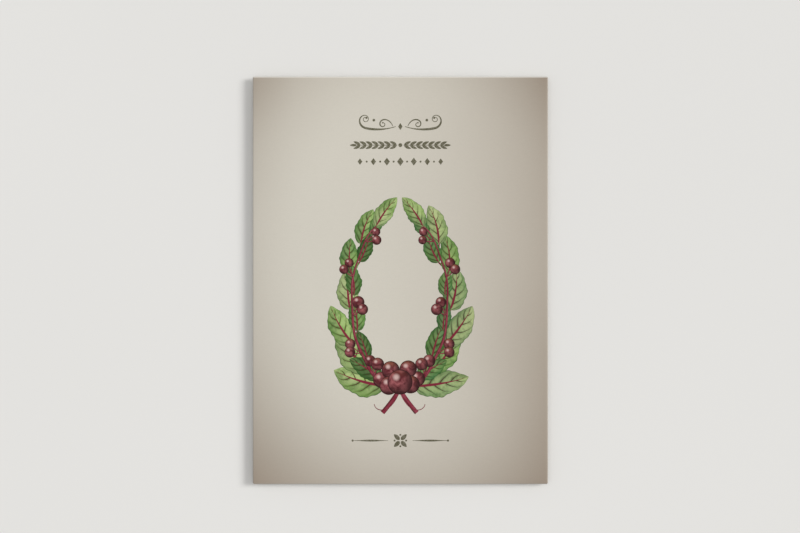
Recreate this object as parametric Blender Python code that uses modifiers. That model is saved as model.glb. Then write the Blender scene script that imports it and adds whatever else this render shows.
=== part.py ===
"""Paper seed packet, sealed and filled, lying on its back with its front face up.

The packet is one die-cut sheet. Its front panel carries a back panel on the left edge, a side flap
on the right edge and a flap on each end. The side flap is folded in first, the back panel is folded
over it, and the end flaps close over the back panel. Three films of glue hold them, and loose beet
seeds lie inside on the back panel.

Metres, +Z up, +Y towards the packet's top edge. The origin is the middle of the base.
"""

import math
import random

import bmesh
import bpy

# Driving dimensions of the closed packet
FACE_WIDTH = 0.0825
FACE_HEIGHT = 0.114
PAPER = 0.00016  # uncoated paper of about 120 g/m2
FRONT_RISE = 0.0019  # how far the front swells above its edges
BACK_DROP = 0.0018  # how far the back sags below its edges, down to the table

# Widths of the flaps, and how much each narrows towards its free edge
SIDE_FLAP = 0.012
TOP_FLAP = 0.017
BOTTOM_FLAP = 0.013
FLAP_TAPER = 0.14
SIDE_TAPER = 0.10

# Glue films, and the clearance that each keeps to the paper on both of its faces
GLUE = 0.00006
GLUE_CLEARANCE = 0.0001
GLUE_MARGIN = 0.003  # from the folds to the films
LAYER_PITCH = PAPER + GLUE + 2 * GLUE_CLEARANCE  # from one glued sheet to the next

# Folds are half ellipses. The reach is their half-width in plan, the rise their half-height, and the
# mitre the share of its reach by which a fold runs on towards the corner.
FOLD_REACH = 0.00028
FOLD_RISE = 0.00035
MITRE = 0.6
FOLD_X = FACE_WIDTH / 2 - PAPER / 2 - FOLD_REACH
FOLD_Y = FACE_HEIGHT / 2 - PAPER / 2 - FOLD_REACH
END_CLEARANCE = 0.0003  # from the ends of the back panel and side flap to the end folds
BACK_EDGE_X = FACE_WIDTH / 2 - 0.0008  # free edge of the back panel

# Heights of the sheet's middle surface
TABLE_LEVEL = PAPER / 2
EDGE_LEVEL = TABLE_LEVEL + BACK_DROP + FOLD_RISE

# The swelling is highest a little below and left of the middle, where the seeds gather.
CREST_X = -0.003
CREST_Y = -0.006
SWELL_POWER_X = 2.2
SWELL_POWER_Y = 3.0

# How far in from each edge the back is still rising from the table
LIFT_LEFT = 0.020
LIFT_RIGHT = 0.026
LIFT_TOP = 0.030
LIFT_BOTTOM = 0.024
FLAP_STEP = 0.006  # run in which the back panel comes down past a flap's free edge
SEAM_STEP = 0.012  # run in which the back panel comes down past the side flap's free edge

# Seeds. A beet seed is a corky ball of several grown together.
SEED_COUNT = 44
SEED_WIDTH = (0.0036, 0.0047)
SEED_HEIGHT = (0.0026, 0.0031)
SEED_LOBE = 0.07
SEED_LOBES = (3, 4, 5)
SEED_GAP = 0.0003
SEED_RANDOM = 4
SEED_TRIES = 20000
SEED_RING = 8  # places round a seed where its room is measured
SEED_FINENESS = 2

# Grid steps of the sheet
FACE_STEPS_X = 16
FACE_STEPS_Y = 22
FOLD_STEPS = 6
FLAP_STEPS = 3

PAPER_COLOUR = (0.64, 0.60, 0.525, 1.0)
GLUE_COLOUR = (0.78, 0.72, 0.58, 1.0)
SEED_COLOUR = (0.27, 0.18, 0.10, 1.0)
PAPER_ROUGHNESS = 0.75
GLUE_ROUGHNESS = 0.35
SEED_ROUGHNESS = 0.9


def clear_scene():
    for obj in list(bpy.data.objects):
        bpy.data.objects.remove(obj)


def make_material(name, colour, roughness):
    material = bpy.data.materials.new(name)
    material.use_nodes = True
    shader = material.node_tree.nodes["Principled BSDF"]
    shader.inputs["Base Color"].default_value = colour
    shader.inputs["Roughness"].default_value = roughness
    shader.inputs["Metallic"].default_value = 0.0
    return material


def lerp(start, end, share):
    return start + (end - start) * share


def smooth(share):
    """0 to 1 with level ends."""
    share = min(max(share, 0.0), 1.0)
    return share * share * (3 - 2 * share)


def share_from(crest, value, half):
    """0 at the crest and 1 at the fold line on either side of it."""
    if value >= crest:
        return min((value - crest) / (half - crest), 1.0)
    return min((crest - value) / (half + crest), 1.0)


def lifted(distance, run):
    """0 at the edge and 1 once the back has come down, run metres in from it."""
    return 1 - (1 - min(max(distance / run, 0.0), 1.0)) ** 2


def front_level(x, y):
    across = 1 - share_from(CREST_X, x, FOLD_X) ** SWELL_POWER_X
    along = 1 - share_from(CREST_Y, y, FOLD_Y) ** SWELL_POWER_Y
    return EDGE_LEVEL + FOLD_RISE + FRONT_RISE * across * along


def flap_underneath(y):
    """1 where an end flap lies between the back panel and the table, 0 in the middle."""
    past_bottom = (y + FOLD_Y - BOTTOM_FLAP) / FLAP_STEP
    past_top = (FOLD_Y - TOP_FLAP - y) / FLAP_STEP
    return 1 - smooth(min(past_bottom, past_top))


def back_level(x, y):
    """The back panel sags to the table, and stays above the end flaps and below the side flap."""
    across = lifted(x + FOLD_X, LIFT_LEFT) * lifted(FOLD_X - x, LIFT_RIGHT)
    along = lifted(y + FOLD_Y, LIFT_BOTTOM) * lifted(FOLD_Y - y, LIFT_TOP)
    seam = smooth((x - FOLD_X + SIDE_FLAP + SEAM_STEP) / SEAM_STEP)
    hanging = EDGE_LEVEL - FOLD_RISE - LAYER_PITCH * seam - BACK_DROP * across * along
    return max(hanging, TABLE_LEVEL + LAYER_PITCH * flap_underneath(y))


def side_level(x, y):
    return back_level(x, y) + LAYER_PITCH


def end_level(x, y):
    return back_level(x, y) - LAYER_PITCH


def bend(upper, lower, turn):
    """(reach, level) on a fold, where turn runs from 0 on the upper sheet to 1 on the lower."""
    angle = math.pi * turn
    return FOLD_REACH * math.sin(angle), (upper + lower + (upper - lower) * math.cos(angle)) / 2


def mitred(along, half, reach):
    """Lengthens a fold as far as it stands out, so that two folds nearly meet at the corner."""
    return along * (1 + MITRE * reach / half)


def body_point(panel, u, v):
    """A point of the front, the back, the side flap or the folds between them."""
    y = lerp(-FOLD_Y, FOLD_Y, v)
    inner_y = y * (1 - END_CLEARANCE / FOLD_Y)
    if panel == "front":
        x = lerp(-FOLD_X, FOLD_X, u)
        return x, y, front_level(x, y)
    if panel == "back":
        x = lerp(BACK_EDGE_X, -FOLD_X, u)
        return x, inner_y, back_level(x, inner_y)
    if panel == "side_flap":
        x = lerp(FOLD_X, FOLD_X - SIDE_FLAP, u)
        return x, inner_y * (1 - SIDE_TAPER * u), side_level(x, inner_y)
    if panel == "left_fold":
        turn = 1 - u
        reach, level = bend(front_level(-FOLD_X, y), back_level(-FOLD_X, inner_y), turn)
        return -FOLD_X - reach, mitred(lerp(y, inner_y, smooth(2 * turn - 1)), FOLD_Y, reach), level
    reach, level = bend(front_level(FOLD_X, y), side_level(FOLD_X, inner_y), u)
    return FOLD_X + reach, mitred(lerp(y, inner_y, smooth(2 * u - 1)), FOLD_Y, reach), level


def end_point(panel, u, v):
    """A point of an end flap or of the fold that joins it to the front."""
    x = lerp(-FOLD_X, FOLD_X, u)
    end = 1 if panel.startswith("top") else -1
    turn = v if end > 0 else 1 - v
    if panel.endswith("fold"):
        reach, level = bend(front_level(x, end * FOLD_Y), end_level(x, end * FOLD_Y), turn)
        return mitred(x, FOLD_X, reach), end * (FOLD_Y + reach), level
    length = TOP_FLAP if end > 0 else BOTTOM_FLAP
    x *= 1 - FLAP_TAPER * turn
    y = end * (FOLD_Y - length * turn)
    return x, y, end_level(x, y)


def grid_lines(*zones):
    """(zone, share) of each grid line. A fold gives its inner lines, because its neighbours give its ends."""
    lines = []
    for zone, steps in zones:
        inner = int(zone.endswith("fold"))
        lines += [(zone, k / steps) for k in range(inner, steps + 1 - inner)]
    return lines


def make_grid(columns, rows):
    """A bmesh grid of unit cells, with its first vertex at the origin."""
    bm = bmesh.new()
    bmesh.ops.create_grid(bm, x_segments=columns, y_segments=rows, size=0.5)
    for vert in bm.verts:
        vert.co.x = round((vert.co.x + 0.5) * columns)
        vert.co.y = round((vert.co.y + 0.5) * rows)
    return bm


def add_object(name, mesh, material, collection):
    mesh.materials.append(material)
    obj = bpy.data.objects.new(name, mesh)
    collection.objects.link(obj)
    return obj


def add_sheet(name, bm, thickness, material, collection):
    """Turns a bmesh surface into an object whose wall lies evenly on both sides of it."""
    mesh = bpy.data.meshes.new(name)
    bm.to_mesh(mesh)
    bm.free()
    mesh.shade_smooth()
    obj = add_object(name, mesh, material, collection)
    wall = obj.modifiers.new("Wall", "SOLIDIFY")
    wall.thickness = thickness
    wall.offset = 0.0
    wall.use_even_offset = True
    return obj


def build_paper_sheet(material, collection):
    """The die-cut sheet: a flat grid without its four corners, folded point by point."""
    columns = grid_lines(
        ("back", FACE_STEPS_X),
        ("left_fold", FOLD_STEPS),
        ("front", FACE_STEPS_X),
        ("right_fold", FOLD_STEPS),
        ("side_flap", FLAP_STEPS),
    )
    rows = grid_lines(
        ("bottom_flap", FLAP_STEPS),
        ("bottom_fold", FOLD_STEPS),
        ("body", FACE_STEPS_Y),
        ("top_fold", FOLD_STEPS),
        ("top_flap", FLAP_STEPS),
    )
    bm = make_grid(len(columns) - 1, len(rows) - 1)
    waste = []
    for vert in bm.verts:
        panel, u = columns[int(vert.co.x)]
        part, v = rows[int(vert.co.y)]
        if part == "body":
            vert.co = body_point(panel, u, v)
        elif panel == "front":
            vert.co = end_point(part, u, v)
        else:
            waste.append(vert)
    bmesh.ops.delete(bm, geom=waste, context="VERTS")
    return add_sheet("paper_sheet", bm, PAPER, material, collection)


def build_glue_film(name, low, high, side, steps, material, collection):
    """A film on the back panel, inside it where side is 1 and outside where side is -1."""
    bm = make_grid(*steps)
    for vert in bm.verts:
        x = lerp(low[0], high[0], vert.co.x / steps[0])
        y = lerp(low[1], high[1], vert.co.y / steps[1])
        vert.co = (x, y, back_level(x, y) + side * LAYER_PITCH / 2)
    return add_sheet(name, bm, GLUE, material, collection)


def build_glue_films(material, collection):
    half_width = FOLD_X * (1 - FLAP_TAPER) - GLUE_MARGIN
    seam_low = (FOLD_X - SIDE_FLAP + GLUE_MARGIN, -FOLD_Y * (1 - SIDE_TAPER) + GLUE_MARGIN)
    seam_high = (FOLD_X - GLUE_MARGIN, FOLD_Y * (1 - SIDE_TAPER) - GLUE_MARGIN)
    bottom_low = (-half_width, -FOLD_Y + GLUE_MARGIN)
    bottom_high = (half_width, -FOLD_Y + BOTTOM_FLAP - GLUE_MARGIN)
    top_low = (-half_width, FOLD_Y - TOP_FLAP + GLUE_MARGIN)
    top_high = (half_width, FOLD_Y - GLUE_MARGIN)
    along_seam = (FLAP_STEPS, FACE_STEPS_Y)
    along_flap = (FACE_STEPS_X, FLAP_STEPS)
    build_glue_film("side_seam_glue", seam_low, seam_high, 1, along_seam, material, collection)
    build_glue_film("bottom_flap_glue", bottom_low, bottom_high, -1, along_flap, material, collection)
    build_glue_film("top_flap_glue", top_low, top_high, -1, along_flap, material, collection)


def room_at(x, y, radius):
    """(floor, ceiling) of the hollow over a round footprint, on the faces of the paper."""
    ring = [(x, y)]
    for k in range(SEED_RING):
        angle = 2 * math.pi * k / SEED_RING
        ring.append((x + radius * math.cos(angle), y + radius * math.sin(angle)))
    floor = max(back_level(px, py) for px, py in ring) + PAPER / 2
    ceiling = min(front_level(px, py) for px, py in ring) - PAPER / 2
    return floor, ceiling


def scatter_seeds():
    """(x, y, z, radius, height) of each seed, lying on the back panel clear of its neighbours."""
    rng = random.Random(SEED_RANDOM)
    placed = []
    for _ in range(SEED_TRIES):
        if len(placed) == SEED_COUNT:
            break
        radius = rng.uniform(*SEED_WIDTH) / 2
        height = rng.uniform(*SEED_HEIGHT)
        x = rng.uniform(-FOLD_X, FOLD_X - SIDE_FLAP)
        y = rng.triangular(-FOLD_Y, FOLD_Y, CREST_Y)
        reach = radius * (1 + SEED_LOBE) + SEED_GAP
        floor, ceiling = room_at(x, y, reach)
        if ceiling - floor < height + 2 * SEED_GAP:
            continue
        if any(math.hypot(x - p[0], y - p[1]) < reach + p[3] * (1 + SEED_LOBE) for p in placed):
            continue
        placed.append((x, y, floor + SEED_GAP + height / 2, radius, height))
    return placed


def build_seeds(material, collection):
    rng = random.Random(SEED_RANDOM)
    for number, (x, y, z, radius, height) in enumerate(scatter_seeds(), start=1):
        lobes = rng.choice(SEED_LOBES)
        bm = bmesh.new()
        bmesh.ops.create_icosphere(bm, subdivisions=SEED_FINENESS, radius=1.0)
        for vert in bm.verts:
            round_the_waist = (1 - abs(vert.co.z)) * math.cos(lobes * math.atan2(vert.co.y, vert.co.x))
            swell = radius * (1 + SEED_LOBE * round_the_waist)
            vert.co = (vert.co.x * swell, vert.co.y * swell, vert.co.z * height / 2)
        name = f"beet_seed_{number:02d}"
        mesh = bpy.data.meshes.new(name)
        bm.to_mesh(mesh)
        bm.free()
        mesh.shade_smooth()
        seed = add_object(name, mesh, material, collection)
        seed.location = (x, y, z)
        seed.rotation_euler.z = rng.uniform(0, 2 * math.pi)


def main():
    clear_scene()
    packet = bpy.data.collections.new("seed_packet")
    bpy.context.scene.collection.children.link(packet)
    paper = make_material("paper", PAPER_COLOUR, PAPER_ROUGHNESS)
    glue = make_material("glue", GLUE_COLOUR, GLUE_ROUGHNESS)
    seed = make_material("seed", SEED_COLOUR, SEED_ROUGHNESS)
    build_paper_sheet(paper, packet)
    build_glue_films(glue, packet)
    build_seeds(seed, packet)


main()
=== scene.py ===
import math
import random

import bmesh
import bpy
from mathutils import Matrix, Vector, noise


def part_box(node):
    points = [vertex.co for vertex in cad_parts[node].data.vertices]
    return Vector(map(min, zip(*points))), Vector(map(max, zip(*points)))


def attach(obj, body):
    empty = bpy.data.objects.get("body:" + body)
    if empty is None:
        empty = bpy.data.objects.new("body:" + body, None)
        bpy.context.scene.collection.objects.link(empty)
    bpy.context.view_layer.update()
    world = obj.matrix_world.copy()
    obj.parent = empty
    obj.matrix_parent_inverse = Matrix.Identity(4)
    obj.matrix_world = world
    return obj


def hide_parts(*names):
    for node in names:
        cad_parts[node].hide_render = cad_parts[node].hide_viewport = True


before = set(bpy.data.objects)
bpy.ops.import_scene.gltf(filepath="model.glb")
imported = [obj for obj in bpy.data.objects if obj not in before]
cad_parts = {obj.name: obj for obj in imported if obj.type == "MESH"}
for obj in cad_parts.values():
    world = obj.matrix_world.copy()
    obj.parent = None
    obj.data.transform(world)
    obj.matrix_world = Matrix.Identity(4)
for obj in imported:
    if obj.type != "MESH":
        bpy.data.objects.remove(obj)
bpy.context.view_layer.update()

MM = 0.001
BODY = "root"

# The photograph: its size, where the packet lies in it, and its scale at the packet
IMAGE_WIDTH = 800
IMAGE_HEIGHT = 533
PACKET_CENTRE_PIXEL = (400.35, 280.3)
PIXELS_PER_METRE = 3575.0
LENS = 85.0
SENSOR = 36.0

# The folded sheet, as the CAD model has it
SHEET_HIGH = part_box("paper_sheet")[1]
PAPER = 0.16 * MM
FRONT_RISE = 1.9 * MM
BACK_DROP = 1.8 * MM
SIDE_FLAP = 12 * MM
TOP_FLAP = 17 * MM
BOTTOM_FLAP = 13 * MM
FLAP_TAPER = 0.14
SIDE_TAPER = 0.10
LAYER_PITCH = 0.42 * MM
FOLD_REACH = 0.28 * MM
FOLD_RISE = 0.35 * MM
MITRE = 0.6
FOLD_X = SHEET_HIGH.x - PAPER / 2 - FOLD_REACH
FOLD_Y = SHEET_HIGH.y - PAPER / 2 - FOLD_REACH
END_CLEARANCE = 0.3 * MM
BACK_EDGE_X = SHEET_HIGH.x - 0.8 * MM
TABLE_LEVEL = PAPER / 2
EDGE_LEVEL = TABLE_LEVEL + BACK_DROP + FOLD_RISE
CREST_X = -3 * MM
CREST_Y = -6 * MM
SWELL_POWER_X = 2.2
SWELL_POWER_Y = 3.0
LIFT_LEFT = 20 * MM
LIFT_RIGHT = 26 * MM
LIFT_TOP = 30 * MM
LIFT_BOTTOM = 24 * MM
FLAP_STEP = 6 * MM
SEAM_STEP = 12 * MM

# Finer than the CAD model: slight cockling of the front, most of it downwards, and the grid that
# shows it
COCKLE = 0.05 * MM
COCKLE_SPAN = 24 * MM
COCKLE_SUNK = 0.5
FACE_STEPS_X = 64
FACE_STEPS_Y = 88
FOLD_STEPS = 12
FLAP_STEPS = 10
SHARP_ANGLE = math.radians(40)

# Printed films. A shape's top lies above the paper by the base and one step for each level, and its
# underside lies within the paper. A dot is a grid of so many steps each way, a small leaf of so many
# along and across, and an arc of so many along.
INK_SUNK = 0.006 * MM
INK_BASE = 0.008 * MM
INK_STEP = 0.003 * MM
DOT_STEPS = 6
SMALL_DOT_STEPS = 4
SMALL_LEAF_STEPS = (10, 4)
ARC_STEPS = 12

# Places on the front, from the packet's middle
WREATH_CENTRE = (-0.2 * MM, -5.9 * MM)
WREATH_HALF_WIDTH = 13.4 * MM
WREATH_HALF_HEIGHT = 24.0 * MM
SCROLL_Y = 43.6 * MM
GARLAND_Y = 37.7 * MM
LOZENGES_Y = 33.1 * MM
FOOT_RULE_Y = -44.7 * MM

# Painted shade on the paper, in a warm tint: light falling off from left to right and the power that it
# grows by, what the top right corner has more of and the bottom right one less, and an oval darkening
# towards the edges about a centre between two distances, in halves of the width and height. Then come
# soft patches of painted shade, each with its place, reach and depth, and a faint random cloud of tone.
# The back has only a share of it, and the last line is what the deepest painted shade leaves.
PAINTED_SHADE_FALL = 0.394
PAINTED_SHADE_POWER = 2.56
PAINTED_SHADE_CORNERS = 0.084
PAINTED_SHADE_CORNER_POWER = 4.0
PAINTED_SHADE_CENTRE = (0.186, 0.134)
PAINTED_SHADE_STRETCH = 1.173
PAINTED_SHADE_START = 0.828
PAINTED_SHADE_END = 2.166
PAINTED_SHADE_DEPTH = 0.713
PAINTED_SHADE_PATCHES = (((-1.0, 1.0), 0.36, 0.10), ((0.92, -0.40), 0.56, 0.085))
TONING_CLOUD = 0.02
TONING_CLOUD_NOISE = (60.0, 2.0)
SHADE_AND_TONE_LIMIT = 0.60
PAINTED_SHADE_BEHIND = 0.25
PAINTED_SHADE_SHARES = (0.468, 0.401, 0.362)

# Paint and paper colours before the painted shade, linear
PAPER_LIGHT = (0.674, 0.646, 0.573)
# The pale colour of the folds is a painted highlight
PAPER_FOLD_HIGHLIGHT = (0.840, 0.830, 0.780)
INK_OLIVE = (0.118, 0.112, 0.066)
LEAF_DARK = (0.017, 0.075, 0.010)
LEAF_MIDDLE = (0.082, 0.236, 0.048)
LEAF_LIGHT = (0.295, 0.488, 0.128)
LEAF_YELLOW = (0.524, 0.627, 0.296)
LEAF_BLUISH = (0.062, 0.203, 0.088)
VEIN = (0.083, 0.028, 0.021)
CRIMSON = (0.222, 0.020, 0.042)
CRIMSON_PALE = (0.349, 0.061, 0.095)
CRIMSON_DARK = (0.067, 0.007, 0.010)
STEM_BLUSH = (0.520, 0.190, 0.205)
BERRY = (0.108, 0.013, 0.020)
BERRY_PALE = (0.395, 0.120, 0.130)
BERRY_DARK = (0.030, 0.006, 0.007)
BERRY_BROWN = (0.289, 0.101, 0.050)
BERRY_SHINE = (0.730, 0.530, 0.500)

# The other colours, linear: dried glue, the cork of the seeds, and the floor
GLUE_DARK = (0.72, 0.66, 0.52)
GLUE_PALE = (0.80, 0.75, 0.62)
CORK_DARK = (0.115, 0.068, 0.034)
CORK_PALE = (0.40, 0.285, 0.165)
CORK_PIT = (0.055, 0.032, 0.018)
FLOOR_DARK = (0.80, 0.80, 0.79)
FLOOR_PALE = (0.82, 0.82, 0.81)

# The paper's surface: its grain and its fibres, which lie along the packet, how much they change its
# tone, and the depth and strength of their relief. Here and in the materials below, a noise is
# (scale, detail, roughness, distortion) and a step is (low, high, first, last).
GRAIN_NOISE = (5200.0, 4.0, 0.65)
FIBRE_NOISE = (900.0, 3.0, 0.55, 1.5)
FIBRE_STRETCH = (1.0, 2.6, 1.0)
FIBRE_TONE = 0.022
FIBRE_STEP = (0.30, 0.70, 1.0 - FIBRE_TONE, 1.0 + FIBRE_TONE)
FIBRE_DEPTH = 0.02 * MM
FIBRE_RELIEF = 0.22
PAPER_ROUGHNESS = 0.86
PAPER_GLOSS = 0.25

# Painted highlight along the folds: where it starts and is full on the sides, in halves of the width,
# and where the pale line on the ends rises and falls, in halves of the height, with what is left of it
# past the fold. The shares are of the sides and of the line at the bottom and at the top.
SIDE_HIGHLIGHT = (0.9905, 0.9945)
END_HIGHLIGHT_RISES = (0.993, 0.996)
END_HIGHLIGHT_FALLS = (0.9975, 1.0)
END_HIGHLIGHT_LEFT = 0.35
SIDE_HIGHLIGHT_SHARE = 0.10
END_HIGHLIGHT_SHARES = (0.08, 0.75)

# A seed cluster, shaped from a ball: the most that it keeps of its half sizes, its lumps and its
# warts with their frequencies, and how far the next seed's pattern lies away
SEED_SIZE = 0.90
SEED_LUMPS = 0.16
SEED_LUMP_RATE = 1.7
SEED_WARTS = 0.10
SEED_WART_RATE = 5.0
SEED_PATTERN_STEP = 7.3
SEED_SUBDIVISIONS = 4

# The studio: the strengths of the room and of the lights, the ways they shine from, the angles that
# they are seen under, their colours, and how far the floor reaches
ROOM_LIGHT = 0.45
ROOM_COLOUR = (1.0, 0.99, 0.975)
OVERHEAD_FROM = (-0.10, 0.05, 1.0)
OVERHEAD_STRENGTH = 0.50
OVERHEAD_ANGLE = math.radians(60)
KEY_FROM = (1.0, 0.24, 0.80)
KEY_STRENGTH = 1.75
KEY_ANGLE = math.radians(24)
KEY_COLOUR = (1.0, 0.985, 0.96)
FLOOR_REACH = 3.0


def lerp(start, end, share):
    return start + (end - start) * share


def smooth(share):
    """0 to 1 with level ends."""
    share = min(max(share, 0.0), 1.0)
    return share * share * (3 - 2 * share)


def share_from(crest, value, half):
    """0 at the crest and 1 at the fold line on either side of it."""
    if value >= crest:
        return min((value - crest) / (half - crest), 1.0)
    return min((crest - value) / (half + crest), 1.0)


def lifted(distance, run):
    """0 at the edge and 1 once the back has come down, run metres in from it."""
    return 1 - (1 - min(max(distance / run, 0.0), 1.0)) ** 2


def front_level(x, y):
    across = 1 - share_from(CREST_X, x, FOLD_X) ** SWELL_POWER_X
    along = 1 - share_from(CREST_Y, y, FOLD_Y) ** SWELL_POWER_Y
    cockle = COCKLE * (noise.noise(Vector((x, y, 0)) / COCKLE_SPAN) - COCKLE_SUNK)
    return EDGE_LEVEL + FOLD_RISE + (FRONT_RISE + cockle) * across * along


def flap_underneath(y):
    """1 where an end flap lies between the back panel and the table, 0 in the middle."""
    past_bottom = (y + FOLD_Y - BOTTOM_FLAP) / FLAP_STEP
    past_top = (FOLD_Y - TOP_FLAP - y) / FLAP_STEP
    return 1 - smooth(min(past_bottom, past_top))


def back_level(x, y):
    """The back panel sags to the table, and stays above the end flaps and below the side flap."""
    across = lifted(x + FOLD_X, LIFT_LEFT) * lifted(FOLD_X - x, LIFT_RIGHT)
    along = lifted(y + FOLD_Y, LIFT_BOTTOM) * lifted(FOLD_Y - y, LIFT_TOP)
    seam = smooth((x - FOLD_X + SIDE_FLAP + SEAM_STEP) / SEAM_STEP)
    hanging = EDGE_LEVEL - FOLD_RISE - LAYER_PITCH * seam - BACK_DROP * across * along
    return max(hanging, TABLE_LEVEL + LAYER_PITCH * flap_underneath(y))


def side_level(x, y):
    return back_level(x, y) + LAYER_PITCH


def end_level(x, y):
    return back_level(x, y) - LAYER_PITCH


def bend(upper, lower, turn):
    """(reach, level) on a fold, where turn runs from 0 on the upper sheet to 1 on the lower."""
    angle = math.pi * turn
    return FOLD_REACH * math.sin(angle), (upper + lower + (upper - lower) * math.cos(angle)) / 2


def mitred(along, half, reach):
    """Lengthens a fold as far as it stands out, so that two folds nearly meet at the corner."""
    return along * (1 + MITRE * reach / half)


def body_point(panel, u, v):
    """A point of the front, the back, the side flap or the folds between them."""
    y = lerp(-FOLD_Y, FOLD_Y, v)
    inner_y = y * (1 - END_CLEARANCE / FOLD_Y)
    if panel == "front":
        x = lerp(-FOLD_X, FOLD_X, u)
        return x, y, front_level(x, y)
    if panel == "back":
        x = lerp(BACK_EDGE_X, -FOLD_X, u)
        return x, inner_y, back_level(x, inner_y)
    if panel == "side_flap":
        x = lerp(FOLD_X, FOLD_X - SIDE_FLAP, u)
        return x, inner_y * (1 - SIDE_TAPER * u), side_level(x, inner_y)
    if panel == "left_fold":
        turn = 1 - u
        reach, level = bend(front_level(-FOLD_X, y), back_level(-FOLD_X, inner_y), turn)
        return -FOLD_X - reach, mitred(lerp(y, inner_y, smooth(2 * turn - 1)), FOLD_Y, reach), level
    reach, level = bend(front_level(FOLD_X, y), side_level(FOLD_X, inner_y), u)
    return FOLD_X + reach, mitred(lerp(y, inner_y, smooth(2 * u - 1)), FOLD_Y, reach), level


def end_point(panel, u, v):
    """A point of an end flap or of the fold that joins it to the front."""
    x = lerp(-FOLD_X, FOLD_X, u)
    end = 1 if panel.startswith("top") else -1
    turn = v if end > 0 else 1 - v
    if panel.endswith("fold"):
        reach, level = bend(front_level(x, end * FOLD_Y), end_level(x, end * FOLD_Y), turn)
        return mitred(x, FOLD_X, reach), end * (FOLD_Y + reach), level
    length = TOP_FLAP if end > 0 else BOTTOM_FLAP
    x *= 1 - FLAP_TAPER * turn
    y = end * (FOLD_Y - length * turn)
    return x, y, end_level(x, y)


def grid_lines(*zones):
    """(zone, share) of each grid line. A fold gives only its inner lines."""
    lines = []
    for zone, steps in zones:
        inner = int(zone.endswith("fold"))
        lines += [(zone, k / steps) for k in range(inner, steps + 1 - inner)]
    return lines


def new_object(name, data):
    obj = bpy.data.objects.new(name, data)
    bpy.context.scene.collection.objects.link(obj)
    return obj


def add_piece(name, mesh, material):
    mesh.materials.append(material)
    obj = new_object(name, mesh)
    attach(obj, BODY)
    return obj


def mesh_from(name, bm):
    """A smooth mesh whose corners and cut edges stay sharp."""
    mesh = bpy.data.meshes.new(name)
    bm.to_mesh(mesh)
    bm.free()
    mesh.shade_smooth()
    mesh.set_sharp_from_angle(angle=SHARP_ANGLE)
    return mesh


def give_wall(obj, thickness):
    """Makes a closed wall of a surface, evenly on both sides of it, with sharp cut edges."""
    wall = obj.modifiers.new("Wall", "SOLIDIFY")
    wall.thickness = thickness
    wall.offset = 0.0
    wall.use_even_offset = True
    graph = bpy.context.evaluated_depsgraph_get()
    obj.data = bpy.data.meshes.new_from_object(obj.evaluated_get(graph))
    obj.modifiers.clear()
    obj.data.set_sharp_from_angle(angle=SHARP_ANGLE)


def build_sheet(material):
    """The die-cut sheet: a flat grid without its four corners, folded point by point."""
    columns = grid_lines(
        ("back", FACE_STEPS_X),
        ("left_fold", FOLD_STEPS),
        ("front", FACE_STEPS_X),
        ("right_fold", FOLD_STEPS),
        ("side_flap", FLAP_STEPS),
    )
    rows = grid_lines(
        ("bottom_flap", FLAP_STEPS),
        ("bottom_fold", FOLD_STEPS),
        ("body", FACE_STEPS_Y),
        ("top_fold", FOLD_STEPS),
        ("top_flap", FLAP_STEPS),
    )
    last_column = len(columns) - 1
    last_row = len(rows) - 1
    bm = bmesh.new()
    bmesh.ops.create_grid(bm, x_segments=last_column, y_segments=last_row, size=0.5)
    waste = []
    for vert in bm.verts:
        panel, u = columns[round((vert.co.x + 0.5) * last_column)]
        part, v = rows[round((vert.co.y + 0.5) * last_row)]
        if part == "body":
            vert.co = body_point(panel, u, v)
        elif panel == "front":
            vert.co = end_point(part, u, v)
        else:
            waste.append(vert)
    bmesh.ops.delete(bm, geom=waste, context="VERTS")
    sheet = add_piece("folded_sheet", mesh_from("folded_sheet", bm), material)
    give_wall(sheet, PAPER)
    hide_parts("paper_sheet")


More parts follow.
